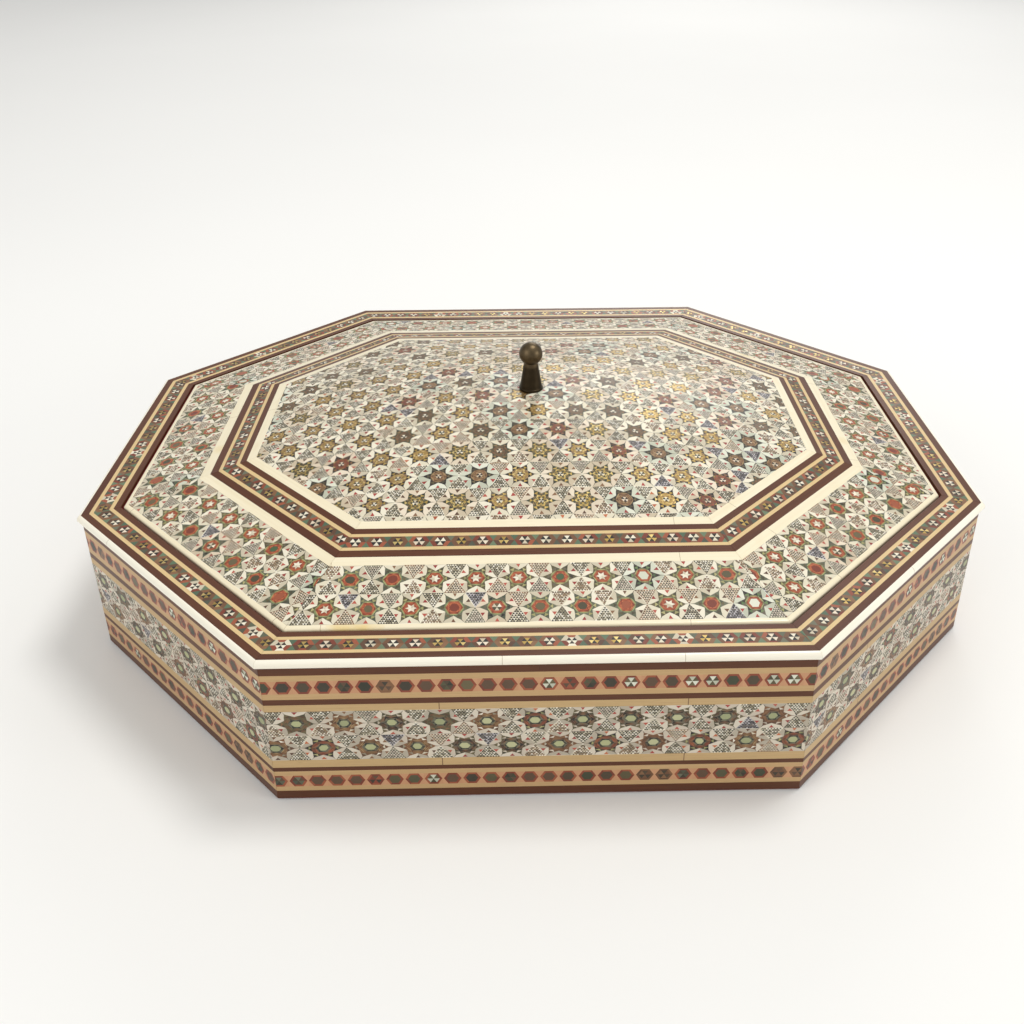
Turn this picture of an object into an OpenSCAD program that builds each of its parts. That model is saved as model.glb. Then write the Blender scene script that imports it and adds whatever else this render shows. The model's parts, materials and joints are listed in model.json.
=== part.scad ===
// Eight-sided inlaid wooden box with a lift-off lid and a small brass knob.
// Millimetres. Origin at the centre of the underside: +X along the length, +Y to the back, +Z up.
// Every ring of strips follows the same eight-sided plan. "Inset" is how far a face lies inside
// the outer wall faces, and a negative inset stands proud of them.

/* [Box] */
// Length over the wall faces
box_w = 300; // [250:1:360]
// Depth over the wall faces
box_d = 248; // [205:1:300]
// Height from the table to the top of the rim
box_h = 53; // [44:1:80]
// How far each corner is cut back along both sides
corner_cut = 73; // [60:1:86]
// Thickness of the eight wall boards
wall_t = 10; // [8.2:0.1:14]
// Thickness of the base board
base_t = 4; // [3:0.5:8]
// Thickness of the felt under the base
felt_t = 0.6; // [0.4:0.1:1.5]
// Thickness of the inlay veneer, everywhere
veneer_t = 1; // [0.8:0.1:1.6]
// Thickness of the velvet
velvet_t = 0.6; // [0.4:0.1:1]
// Hairline left at each mitre between strips of one ring
mitre_line = 0.08; // [0.04:0.01:0.2]

/* [Top edging] */
// Height of the white edging down the wall
edging_h = 2.4; // [2:0.1:5]
// How far the edging stands proud of the wall
edging_proud = 1.4; // [0.6:0.1:2.5]

/* [Wall strips, from the top down] */
// Height of the upper brown strip
wall_brown_upper_h = 3.4; // [1.5:0.1:5]
// Height of the upper strip of hexagons
hexagon_upper_h = 8.65; // [6:0.05:10]
// Height of the brown line under the upper hexagons
wall_brown_middle_h = 2; // [1:0.1:3]
// Height of the tan fillet over the star band
fillet_upper_h = 2.45; // [1:0.05:4]
// Height of the tan fillet under the star band
fillet_lower_h = 2.85; // [1:0.05:4]
// Height of the brown line over the lower hexagons
wall_brown_lower_h = 1.55; // [1:0.05:3]
// Height of the lower strip of hexagons
hexagon_lower_h = 7.7; // [6:0.05:10]
// Height of the brown plinth strip
plinth_h = 3; // [2:0.1:5]

/* [Rim strips, from the outside in: the inner brown strip takes what is left] */
// Width of the outer brown strip
rim_brown_outer_w = 2.4; // [1.5:0.1:4]
// Width of each yellow line
rim_yellow_w = 1.3; // [0.8:0.1:2]
// Width of the flower inlay
rim_flower_w = 4.5; // [3:0.1:6]

/* [Lid] */
// Gap between the rim and the lid, all round
lid_gap = 0.8; // [0.5:0.1:2]
// Slope of the lid's eight facets, in degrees
lid_slope = 11.4; // [6:0.1:16]
// Thickness of the lid boards
lid_board_t = 3.6; // [3:0.1:6]
// Height of the landing at the lid's edge, from its underside to the ivory edge
lid_landing_h = 2.8; // [2:0.1:4]
// Width of the flat landing that sits on the ledge
lid_landing_w = 4.6; // [3.5:0.1:8]
// Width of the ivory edge, in plan
lid_edge_w = 1.6; // [1:0.1:3]
// Height of the ivory edge on the lid's side
lid_edge_h = 2.1; // [1.5:0.1:4]
// Rise of the centre panel over its border
dome_rise = 11.1; // [5:0.1:15]
// How full the centre panel is: 1 is a cone, 2 a parabola
dome_fullness = 1.7; // [1.3:0.05:2.4]

/* [Lid strips, from the outside in, in plan] */
// Width of the star band on the slope
slope_band_w = 22; // [16:0.5:26]
// Width of the outer ivory strip
ivory_outer_w = 3.4; // [2:0.1:5]
// Width of the outer brown strip
lid_brown_outer_w = 2.7; // [1.5:0.1:4]
// Width of each yellow line
lid_yellow_w = 1.25; // [0.8:0.05:2]
// Width of the flower inlay
lid_flower_w = 4.3; // [3:0.1:6]
// Width of the inner brown strip
lid_brown_inner_w = 2.2; // [1.5:0.1:4]
// Width of the inner ivory strip
ivory_inner_w = 3.2; // [2:0.1:5]

/* [Ledge and lining] */
// Thickness of the ledge boards inside the walls
ledge_t = 4; // [3:0.5:7]

/* [Knob] */
// Diameter of the knob's ball
knob_ball_d = 8.5; // [6:0.1:12]
// Diameter of the neck under the ball
knob_neck_d = 5; // [4:0.1:6]
// Diameter of the knob's foot
knob_foot_d = 8.7; // [7:0.1:12]
// Height of the stem from the lid to the neck
knob_stem_h = 10.5; // [8:0.1:18]
// Diameter of the screw's shank
screw_d = 3; // [2.5:0.1:3.4]
// Diameter of the screw's head
screw_head_d = 5.6; // [5:0.1:8]
// Height of the screw's head
screw_head_h = 1.9; // [1.2:0.1:3]
// How far the screw reaches into the knob
screw_grip = 8; // [5:0.1:9]
// Clearance round the shank in the knob
thread_clearance = 0.05; // [0.02:0.01:0.1]
// Clearance round the shank in the lid
hole_clearance = 0.25; // [0.1:0.05:0.5]
// Diameter of the washer
washer_d = 9; // [7:0.1:12]
// Thickness of the washer
washer_t = 0.7; // [0.5:0.1:1.5]

/* [Hidden] */
$fn = 64;

// Side numbers, from the front anticlockwise as seen from above
FRONT = 0;
FRONT_RIGHT = 1;
RIGHT = 2;
BACK_RIGHT = 3;
BACK = 4;
BACK_LEFT = 5;
LEFT = 6;
FRONT_LEFT = 7;
SIDES = 8;

// How far a cutting shape passes the piece it cuts
cut_over = 1;

// Heights in the box
base_z = felt_t;
floor_z = base_z + base_t;
rim_under_z = box_h - veneer_t;
edging_z = box_h - edging_h;
wall_brown_upper_z = edging_z - wall_brown_upper_h;
hexagon_upper_z = wall_brown_upper_z - hexagon_upper_h;
wall_brown_middle_z = hexagon_upper_z - wall_brown_middle_h;
fillet_upper_z = wall_brown_middle_z - fillet_upper_h;
plinth_top_z = base_z + plinth_h;
hexagon_lower_top_z = plinth_top_z + hexagon_lower_h;
wall_brown_lower_top_z = hexagon_lower_top_z + wall_brown_lower_h;
star_band_z = wall_brown_lower_top_z + fillet_lower_h;

// Insets in the walls and the rim
wall_out = veneer_t;
wall_in = veneer_t + wall_t;
rim_yellow_outer_at = rim_brown_outer_w;
rim_flower_at = rim_yellow_outer_at + rim_yellow_w;
rim_yellow_inner_at = rim_flower_at + rim_flower_w;
rim_brown_inner_at = rim_yellow_inner_at + rim_yellow_w;
rim_in = wall_in + velvet_t;

// Insets of the strips on the lid
lid_out = rim_in + lid_gap;
slope_band_at = lid_out + lid_edge_w;
ivory_outer_at = slope_band_at + slope_band_w;
lid_brown_outer_at = ivory_outer_at + ivory_outer_w;
lid_yellow_outer_at = lid_brown_outer_at + lid_brown_outer_w;
lid_flower_at = lid_yellow_outer_at + lid_yellow_w;
lid_yellow_inner_at = lid_flower_at + lid_flower_w;
lid_brown_inner_at = lid_yellow_inner_at + lid_yellow_w;
ivory_inner_at = lid_brown_inner_at + lid_brown_inner_w;
centre_at = ivory_inner_at + ivory_inner_w;

// Heights in the lid: the ivory edge is flush with the rim, and the lid sits on the velvet ledge
lid_edge_z = box_h - lid_edge_h;
landing_z = lid_edge_z - lid_landing_h;
ledge_velvet_top = landing_z - velvet_t;
ledge_top = ledge_velvet_top - velvet_t;
ledge_in = wall_in + ledge_t;
landing_in = lid_out + lid_landing_w;
landing_ramp = 2;

// Height of the lid's facets at an inset
function slope_z(inset) = box_h + tan(lid_slope) * (inset - lid_out);
// Height of the underside of the lid boards at an inset
function board_under_z(inset) = slope_z(inset) - veneer_t - lid_board_t;

// Plan of the box: the cut left at a corner, and the eight corners, at an inset
function cut_at(inset) = corner_cut - inset * (2 - sqrt(2));
function corner(k, inset) =
    let (w = box_w / 2 - inset, d = box_d / 2 - inset, c = cut_at(inset))
    [[-w + c, -d], [w - c, -d], [w, -d + c], [w, d - c],
     [w - c, d], [-w + c, d], [-w, d - c], [-w, -d + c]][k % SIDES];
function octagon(inset) = [for (k = [0:SIDES - 1]) corner(k, inset)];
// Direction of a side
function along(k) =
    let (v = corner(k + 1, 0) - corner(k, 0)) v / norm(v);

// One length of board or strip on side k, from one mitre to the next
module straight_length(k, inset_out, inset_in, z_low, z_high, line = 0) {
    step = along(k) * line / 2;
    translate([0, 0, z_low])
        linear_extrude(z_high - z_low)
            polygon([corner(k, inset_out) + step, corner(k + 1, inset_out) - step,
                     corner(k + 1, inset_in) - step, corner(k, inset_in) + step]);
}

// A ring of eight flat strips
module strip_ring(inset_out, inset_in, z_low, z_high) {
    for (k = [0:SIDES - 1])
        straight_length(k, inset_out, inset_in, z_low, z_high, mitre_line);
}

// One length with a shaped section, a list of [inset, height]: the section runs along side k and
// is cut to its two mitres
module shaped_length(k, section) {
    run = along(k);
    spare = 4;
    start = corner(k, 0) - run * spare;
    insets = [for (p = section) p[0]];
    heights = [for (p = section) p[1]];
    intersection() {
        multmatrix([[-run[1], 0, run[0], start[0]],
                    [run[0], 0, run[1], start[1]],
                    [0, 1, 0, 0],
                    [0, 0, 0, 1]])
            linear_extrude(norm(corner(k + 1, 0) - corner(k, 0)) + 2 * spare)
                polygon(section);
        straight_length(k, min(insets) - 1, max(insets) + 1, min(heights) - 1, max(heights) + 1,
                        mitre_line);
    }
}

module shaped_ring(section) {
    for (k = [0:SIDES - 1])
        shaped_length(k, section);
}

// A ring of eight veneer strips on the lid's slope
module slope_ring(inset_out, inset_in) {
    shaped_ring([[inset_out, slope_z(inset_out) - veneer_t], [inset_out, slope_z(inset_out)],
                 [inset_in, slope_z(inset_in)], [inset_in, slope_z(inset_in) - veneer_t]]);
}

// The centre panel swells from an eight-sided border to a round crown. Its loops hold side_steps
// points a side, and t runs from the flat seat of the knob to the border at 1.
side_steps = 6;
dome_rings = 9;
centre_w = box_w / 2 - centre_at;
centre_d = box_d / 2 - centre_at;
seat_t = knob_foot_d / 2 / centre_d * 1.04;
border_z = slope_z(centre_at);
crown_z = border_z + dome_rise;

function loop_at(inset) =
    [for (k = [0:SIDES - 1]) for (s = [0:side_steps - 1])
        let (a = corner(k, inset), b = corner(k + 1, inset)) a + (b - a) * s / side_steps];
border_loop = loop_at(centre_at);
crown_loop = [for (p = border_loop)
    let (turn = atan2(p[1] / centre_d, p[0] / centre_w))
    [centre_w * cos(turn), centre_d * sin(turn)]];
function ring_t(r) = seat_t + (1 - seat_t) * r / dome_rings;
function ring_z(r) = crown_z - dome_rise * pow(r / dome_rings, dome_fullness);
function raised(loop, z) = [for (p = loop) [p[0], p[1], z]];
function dome_ring(r, drop) =
    let (t = ring_t(r), keep = t * t)
    [for (i = [0:len(border_loop) - 1])
        let (p = t * (crown_loop[i] * (1 - keep) + border_loop[i] * keep))
        [p[0], p[1], ring_z(r) - drop]];
function dome_out(drop) = [for (r = [0:dome_rings]) dome_ring(r, drop)];
function dome_in(drop) = [for (r = [dome_rings:-1:0]) dome_ring(r, drop)];

// A closed skin over a list of loops, from the middle of the underside out, up and back in. The
// quads are split alike on the way out and back, so that two layers meet on the same facets.
module loop_skin(loops) {
    m = len(loops[0]);
    n = len(loops);
    function reach(r) = norm([loops[r][0][0], loops[r][0][1]]);
    faces = concat(
        [[for (i = [0:m - 1]) i]],
        [[for (i = [m - 1:-1:0]) (n - 1) * m + i]],
        [for (r = [0:n - 2]) for (i = [0:m - 1])
            let (a = r * m + i, b = r * m + (i + 1) % m)
            each (reach(r + 1) > reach(r)
                ? [[a, a + m, b + m], [a, b + m, b]]
                : [[a, a + m, b], [a + m, b + m, b]])]);
    polyhedron([for (loop = loops) each loop], faces);
}

// Hole for the knob's screw through a layer of the lid
module knob_hole() {
    translate([0, 0, border_z - box_h])
        cylinder(r = screw_d / 2 + hole_clearance, h = 2 * box_h);
}

// Box

module base_felt() {
    color("#5a1a2a")
        linear_extrude(felt_t)
            polygon(octagon(veneer_t / 2));
}

module base_board() {
    color("#b98d5a")
        translate([0, 0, base_z])
            linear_extrude(base_t)
                polygon(octagon(wall_out));
}

module wall_board(k) {
    color("#b98d5a")
        straight_length(k, wall_out, wall_in, floor_z, rim_under_z);
}

module ledge_board(k) {
    color("#c49a68")
        straight_length(k, wall_in, ledge_in, floor_z, ledge_top);
}

module velvet_floor() {
    color("#9c1530")
        translate([0, 0, floor_z])
            linear_extrude(velvet_t)
                polygon(octagon(ledge_in));
}

module velvet_sides() {
    color("#9c1530")
        strip_ring(ledge_in, ledge_in + velvet_t, floor_z + velvet_t, ledge_top);
}

// Velvet over the ledge, out to the velvet on the wall
module velvet_ledge() {
    color("#a81833")
        strip_ring(rim_in, ledge_in + velvet_t, ledge_top, ledge_velvet_top);
}

// Velvet up the wall from the ledge to the rim
module velvet_wall() {
    color("#a81833")
        strip_ring(wall_in, rim_in, ledge_top, rim_under_z);
}

// A rounded bead over the top corner of the walls, rebated over the boards
module white_edging() {
    round_steps = 6;
    top_round = [for (s = [0:round_steps])
        let (turn = 90 * s / round_steps)
        [-edging_proud * cos(turn), edging_z + edging_h / 4 + edging_h * 3 / 4 * sin(turn)]];
    color("#f6f2e6")
        shaped_ring(concat(
            [[wall_out, edging_z], [-edging_proud / 2, edging_z]],
            top_round,
            [[0, rim_under_z], [wall_out, rim_under_z]]));
}

module wall_strip(z_low, z_high) {
    strip_ring(0, wall_out, z_low, z_high);
}

module wall_brown_upper() {
    color("#734d3a") wall_strip(wall_brown_upper_z, edging_z);
}

module wall_hexagons_upper() {
    color("#cba776") wall_strip(hexagon_upper_z, wall_brown_upper_z);
}

module wall_brown_middle() {
    color("#734d3a") wall_strip(wall_brown_middle_z, hexagon_upper_z);
}

module wall_fillet_upper() {
    color("#d9b98a") wall_strip(fillet_upper_z, wall_brown_middle_z);
}

module wall_star_band() {
    color("#a8a48c") wall_strip(star_band_z, fillet_upper_z);
}

module wall_fillet_lower() {
    color("#d9b98a") wall_strip(wall_brown_lower_top_z, star_band_z);
}

module wall_brown_lower() {
    color("#734d3a") wall_strip(hexagon_lower_top_z, wall_brown_lower_top_z);
}

module wall_hexagons_lower() {
    color("#cba776") wall_strip(plinth_top_z, hexagon_lower_top_z);
}

module wall_plinth() {
    color("#6b4536") wall_strip(base_z, plinth_top_z);
}

module rim_strip(inset_out, inset_in) {
    strip_ring(inset_out, inset_in, rim_under_z, box_h);
}

module rim_brown_outer() {
    color("#734d3a") rim_strip(0, rim_yellow_outer_at);
}

module rim_yellow_outer() {
    color("#e8c880") rim_strip(rim_yellow_outer_at, rim_flower_at);
}

module rim_flower_band() {
    color("#8c7c5c") rim_strip(rim_flower_at, rim_yellow_inner_at);
}

module rim_yellow_inner() {
    color("#e8c880") rim_strip(rim_yellow_inner_at, rim_brown_inner_at);
}

module rim_brown_inner() {
    color("#734d3a") rim_strip(rim_brown_inner_at, rim_in);
}

// Lid

// Eight sloped boards with a flat landing underneath and a rebate for the ivory edge
module lid_boards() {
    side_at = lid_out + velvet_t;
    ramp_at = landing_in + landing_ramp;
    color("#b98d5a")
        shaped_ring([[side_at, landing_z], [side_at, lid_edge_z],
                     [slope_band_at, lid_edge_z], [slope_band_at, slope_z(slope_band_at) - veneer_t],
                     [centre_at, border_z - veneer_t], [centre_at, board_under_z(centre_at)],
                     [ramp_at, board_under_z(ramp_at)], [landing_in, landing_z]]);
}

module lid_centre_board() {
    color("#b98d5a")
        difference() {
            loop_skin(concat(dome_out(veneer_t + lid_board_t), dome_in(veneer_t)));
            knob_hole();
        }
}

// Velvet under the whole lid and up its side to the ivory edge
module lid_velvet() {
    side_at = lid_out + velvet_t;
    ramp_at = landing_in + landing_ramp;
    under = veneer_t + lid_board_t;
    color("#9c1530")
        difference() {
            loop_skin(concat(
                dome_out(under + velvet_t),
                [raised(loop_at(ramp_at), board_under_z(ramp_at) - velvet_t),
                 raised(loop_at(landing_in), landing_z - velvet_t),
                 raised(loop_at(lid_out), landing_z - velvet_t),
                 raised(loop_at(lid_out), lid_edge_z),
                 raised(loop_at(side_at), lid_edge_z),
                 raised(loop_at(side_at), landing_z),
                 raised(loop_at(landing_in), landing_z),
                 raised(loop_at(ramp_at), board_under_z(ramp_at))],
                dome_in(under)));
            knob_hole();
        }
}

module lid_ivory_edge() {
    ease = 0.35;
    color("#efe4c4")
        shaped_ring([[lid_out, lid_edge_z], [lid_out, box_h - ease],
                     [lid_out + ease, slope_z(lid_out + ease)],
                     [slope_band_at, slope_z(slope_band_at)], [slope_band_at, lid_edge_z]]);
}

module lid_star_band() {
    color("#b6ae92") slope_ring(slope_band_at, ivory_outer_at);
}

module lid_ivory_outer() {
    color("#efe4c4") slope_ring(ivory_outer_at, lid_brown_outer_at);
}

module lid_brown_outer() {
    color("#734d3a") slope_ring(lid_brown_outer_at, lid_yellow_outer_at);
}

module lid_yellow_outer() {
    color("#e8c880") slope_ring(lid_yellow_outer_at, lid_flower_at);
}

module lid_flower_band() {
    color("#8c7c5c") slope_ring(lid_flower_at, lid_yellow_inner_at);
}

module lid_yellow_inner() {
    color("#e8c880") slope_ring(lid_yellow_inner_at, lid_brown_inner_at);
}

module lid_brown_inner() {
    color("#734d3a") slope_ring(lid_brown_inner_at, ivory_inner_at);
}

module lid_ivory_inner() {
    color("#efe4c4") slope_ring(ivory_inner_at, centre_at);
}

module lid_centre_inlay() {
    color("#aaa07c")
        difference() {
            loop_skin(concat(dome_out(veneer_t), dome_in(0)));
            knob_hole();
        }
}

// A ball on a flared stem, drilled from below for the screw
module knob() {
    foot_r = knob_foot_d / 2;
    neck_r = knob_neck_d / 2;
    ball_r = knob_ball_d / 2;
    foot_h = 0.9;
    foot_step = 0.3;
    room_past_screw = 0.5;
    ball_z = knob_stem_h + sqrt(ball_r * ball_r - neck_r * neck_r);
    color("#5a5040")
        translate([0, 0, crown_z])
            difference() {
                union() {
                    cylinder(r = foot_r, h = foot_h);
                    translate([0, 0, foot_h])
                        cylinder(r1 = foot_r - foot_step, r2 = neck_r, h = knob_stem_h - foot_h);
                    translate([0, 0, ball_z])
                        sphere(r = ball_r);
                }
                translate([0, 0, -cut_over])
                    cylinder(r = screw_d / 2 + thread_clearance, h = screw_grip + room_past_screw + cut_over);
            }
}

module knob_washer() {
    under_z = crown_z - veneer_t - lid_board_t - velvet_t;
    color("#b8a060")
        translate([0, 0, under_z - washer_t])
            difference() {
                cylinder(r = washer_d / 2, h = washer_t);
                translate([0, 0, -cut_over])
                    cylinder(r = screw_d / 2 + hole_clearance, h = washer_t + 2 * cut_over);
            }
}

// A slotted screw from inside the lid
module knob_screw() {
    head_top = crown_z - veneer_t - lid_board_t - velvet_t - washer_t;
    slot_w = 0.9;
    slot_deep = 0.9;
    color("#b0b0b4")
        difference() {
            union() {
                translate([0, 0, head_top - screw_head_h])
                    cylinder(r = screw_head_d / 2, h = screw_head_h);
                translate([0, 0, head_top])
                    cylinder(r = screw_d / 2, h = crown_z + screw_grip - head_top);
            }
            translate([-screw_head_d, -slot_w / 2, head_top - screw_head_h - cut_over])
                cube([2 * screw_head_d, slot_w, slot_deep + cut_over]);
        }
}

base_felt();
base_board();
wall_board(FRONT);  // wall_front
wall_board(FRONT_RIGHT);  // wall_front_right
wall_board(RIGHT);  // wall_right
wall_board(BACK_RIGHT);  // wall_back_right
wall_board(BACK);  // wall_back
wall_board(BACK_LEFT);  // wall_back_left
wall_board(LEFT);  // wall_left
wall_board(FRONT_LEFT);  // wall_front_left
ledge_board(FRONT);  // ledge_front
ledge_board(FRONT_RIGHT);  // ledge_front_right
ledge_board(RIGHT);  // ledge_right
ledge_board(BACK_RIGHT);  // ledge_back_right
ledge_board(BACK);  // ledge_back
ledge_board(BACK_LEFT);  // ledge_back_left
ledge_board(LEFT);  // ledge_left
ledge_board(FRONT_LEFT);  // ledge_front_left
velvet_floor();
velvet_sides();
velvet_ledge();
velvet_wall();
white_edging();
wall_brown_upper();
wall_hexagons_upper();
wall_brown_middle();
wall_fillet_upper();
wall_star_band();
wall_fillet_lower();
wall_brown_lower();
wall_hexagons_lower();
wall_plinth();
rim_brown_outer();
rim_yellow_outer();
rim_flower_band();
rim_yellow_inner();
rim_brown_inner();
lid_boards();
lid_centre_board();
lid_velvet();
lid_ivory_edge();
lid_star_band();
lid_ivory_outer();
lid_brown_outer();
lid_yellow_outer();
lid_flower_band();
lid_yellow_inner();
lid_brown_inner();
lid_ivory_inner();
lid_centre_inlay();
knob();
knob_screw();
knob_washer();
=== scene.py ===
"""An eight-sided inlaid wooden box with a loose lid, standing on a pale floor.

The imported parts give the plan, the heights and the slope. Rod mosaic is laid out as sheets by
Geometry Nodes, sawn to each panel's outline and glued over its wall, slope or dome.
"""

import json
import math

import bmesh
import bpy
import numpy as np
from mathutils import Matrix, Vector, geometry

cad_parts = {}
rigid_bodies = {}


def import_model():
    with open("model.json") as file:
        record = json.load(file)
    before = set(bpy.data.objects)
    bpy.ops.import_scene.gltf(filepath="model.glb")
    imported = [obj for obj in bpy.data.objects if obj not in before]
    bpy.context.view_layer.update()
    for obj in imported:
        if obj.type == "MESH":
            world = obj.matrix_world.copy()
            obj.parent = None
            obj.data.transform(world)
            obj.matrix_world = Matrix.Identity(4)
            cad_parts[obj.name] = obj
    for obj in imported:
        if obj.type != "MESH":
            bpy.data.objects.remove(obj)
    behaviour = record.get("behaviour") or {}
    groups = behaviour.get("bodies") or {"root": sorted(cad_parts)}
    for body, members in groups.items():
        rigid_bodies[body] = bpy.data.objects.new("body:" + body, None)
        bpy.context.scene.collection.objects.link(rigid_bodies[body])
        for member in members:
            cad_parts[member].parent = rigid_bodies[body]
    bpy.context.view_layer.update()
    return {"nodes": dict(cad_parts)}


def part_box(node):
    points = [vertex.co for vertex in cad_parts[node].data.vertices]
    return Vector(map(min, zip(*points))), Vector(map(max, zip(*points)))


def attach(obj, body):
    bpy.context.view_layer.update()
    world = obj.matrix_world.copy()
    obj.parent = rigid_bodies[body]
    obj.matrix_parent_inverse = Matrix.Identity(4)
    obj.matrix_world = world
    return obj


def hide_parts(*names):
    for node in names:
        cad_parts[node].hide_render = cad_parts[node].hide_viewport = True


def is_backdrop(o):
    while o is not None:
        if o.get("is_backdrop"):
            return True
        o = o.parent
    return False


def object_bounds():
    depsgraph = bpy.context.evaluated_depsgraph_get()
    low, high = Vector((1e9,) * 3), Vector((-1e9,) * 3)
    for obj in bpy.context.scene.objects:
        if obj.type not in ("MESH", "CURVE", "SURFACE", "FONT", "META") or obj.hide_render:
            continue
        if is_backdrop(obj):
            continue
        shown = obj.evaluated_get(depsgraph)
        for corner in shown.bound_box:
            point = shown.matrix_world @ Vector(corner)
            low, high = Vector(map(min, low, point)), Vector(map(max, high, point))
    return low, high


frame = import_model()

MM = 0.001
SIDES = 8
MITRE_TAN = math.tan(math.radians(22.5))
ROOT3 = math.sqrt(3)
SHADES = 3


# ---------------------------------------------------------------- plan and heights, from the parts

nodes = frame["nodes"]
half_w, half_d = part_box("wall_plinth")[1].x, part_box("wall_plinth")[1].y
front_edge = [v.co.x for v in nodes["wall_plinth"].data.vertices if v.co.y < -half_d + 0.01 * MM]
corner_cut = half_w - max(front_edge)


def inset_of(node):
    """How far a ring's outer face lies inside the wall faces."""
    return half_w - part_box(node)[1].x


def top_of(node):
    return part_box(node)[1].z


def foot_of(node):
    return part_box(node)[0].z


def reduced(inset):
    """Half width, half depth and corner cut of the plan, drawn in by inset on every side."""
    return half_w - inset, half_d - inset, corner_cut - inset * (2 - math.sqrt(2))


def corner(k, inset=0.0):
    w, d, c = reduced(inset)
    spots = ((-w + c, -d), (w - c, -d), (w, -d + c), (w, d - c),
             (w - c, d), (-w + c, d), (-w, d - c), (-w, -d + c))
    return Vector(spots[k % SIDES])


def ring_corners(inset):
    return [tuple(corner(k, inset)) for k in range(SIDES)]


def side_length(k):
    return (corner(k + 1) - corner(k)).length


def along(k):
    return (corner(k + 1) - corner(k)).normalized()


def inward(k):
    run = along(k)
    return Vector((-run.y, run.x))


veneer = top_of("rim_brown_outer") - foot_of("rim_brown_outer")
star_band_in = inset_of("lid_ivory_outer")
centre_in = inset_of("lid_centre_inlay")
slope_rise = (top_of("lid_ivory_inner") - top_of("lid_star_band")) / (centre_in - star_band_in)
crown_z = top_of("lid_centre_inlay")
border_z = top_of("lid_ivory_inner")
knob_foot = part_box("knob")[1].x
DOME_FULLNESS = 1.7
SEAT_ROOM = 1.04                # the dome's flat crown is this much wider than the knob's foot
NEWTON_STEPS = 12


def slope_z(inset):
    return top_of("lid_star_band") + slope_rise * (inset - star_band_in)


def dome_z(x, y):
    """Height of the domed centre: eight-sided at its border, round at its crown."""
    w, d, cut = reduced(centre_in)
    seat = knob_foot / d * SEAT_ROOM
    px, py = abs(x) / w, abs(y) / d
    reach = math.hypot(px, py)
    if reach < 1e-9:
        return crown_z
    ux, uy = px / reach, py / reach
    border = 1 / max(ux, uy, (ux * w + uy * d) / (w + d - cut))
    t = reach
    for _ in range(NEWTON_STEPS):
        t -= (t + (border - 1) * t ** 3 - reach) / (1 + 3 * (border - 1) * t * t)
    rise = max(0.0, (t - seat) / (1 - seat)) ** DOME_FULLNESS
    return crown_z - (crown_z - border_z) * rise


# ---------------------------------------------------------------- node trees as expressions

class Wire:
    """One output of a node; arithmetic on it adds Math nodes to the same tree."""

    def __init__(self, bench, socket):
        self.bench, self.socket = bench, socket

    def math(self, operation, *others):
        values = dict(enumerate((self, *others)))
        return self.bench.node("ShaderNodeMath", {"operation": operation}, values)

    def out(self, name):
        return Wire(self.bench, self.socket.node.outputs[name])

    def __add__(self, other):
        return self.math("ADD", other)

    __radd__ = __add__

    def __sub__(self, other):
        return self.math("SUBTRACT", other)

    def __rsub__(self, other):
        return self.bench.node("ShaderNodeMath", {"operation": "SUBTRACT"}, {0: other, 1: self})

    def __mul__(self, other):
        return self.math("MULTIPLY", other)

    __rmul__ = __mul__

    def __truediv__(self, other):
        return self.math("DIVIDE", other)

    def __abs__(self):
        return self.math("ABSOLUTE")

    def __mod__(self, other):
        return self.math("FLOORED_MODULO", other)

    def __gt__(self, other):
        return self.math("GREATER_THAN", other)

    def __lt__(self, other):
        return self.math("LESS_THAN", other)


class Bench:
    """A node tree, with one way to add a node: its type, its settings, then its sockets."""

    def __init__(self, tree):
        self.tree = tree

    def node(self, kind, settings=None, sockets=None, out=0):
        made = self.tree.nodes.new(kind)
        for name, value in (settings or {}).items():
            setattr(made, name, value)
        for name, value in (sockets or {}).items():
            for one in value if isinstance(value, list) else [value]:
                if isinstance(one, Wire):
                    self.tree.links.new(one.socket, made.inputs[name])
                else:
                    made.inputs[name].default_value = one
        return Wire(self, made.outputs[out]) if made.outputs else None


def linear(red, green, blue):
    """A colour given as 0 to 255 sRGB, as linear light."""
    return tuple((c / 255 / 12.92) if c <= 10 else ((c / 255 + 0.055) / 1.055) ** 2.4
                 for c in (red, green, blue))


def new_finish(name, constants):
    """A material with a Principled shader: returns its bench, shader node and the material."""
    material = bpy.data.materials.new(name)
    material.use_nodes = True
    material.node_tree.nodes.clear()
    bench = Bench(material.node_tree)
    surface = bench.node("ShaderNodeBsdfPrincipled", None, constants)
    bench.node("ShaderNodeOutputMaterial", None, {"Surface": surface})
    return bench, surface.socket.node, material


def feed(bench, shader, name, wire):
    bench.tree.links.new(wire.socket, shader.inputs[name])


def object_place(bench):
    return bench.node("ShaderNodeTexCoord").out("Object")


def noise(bench, place, scale, detail=3.0, roughness=0.5):
    return bench.node("ShaderNodeTexNoise", None,
                      {"Vector": place, "Scale": scale, "Detail": detail, "Roughness": roughness})


def blend(bench, share, first, second):
    """Mix of two colours, each a constant or a wire."""
    def colour(value):
        return value if isinstance(value, Wire) else (*value, 1)
    return bench.node("ShaderNodeMix", {"data_type": "RGBA"},
                      {0: share, 6: colour(first), 7: colour(second)}, out=2)


def bump(bench, shader, height, strength, distance):
    relief = bench.node("ShaderNodeBump", None,
                        {"Height": height, "Strength": strength, "Distance": distance})
    feed(bench, shader, "Normal", relief)


def over(wire, level, gain):
    """How far a value stands over a level, times a gain, and never under nothing."""
    return (wire - level).math("MAXIMUM", 0.0) * gain


def clamped(wire):
    return wire.math("MAXIMUM", 0.0).math("MINIMUM", 1.0)


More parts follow.
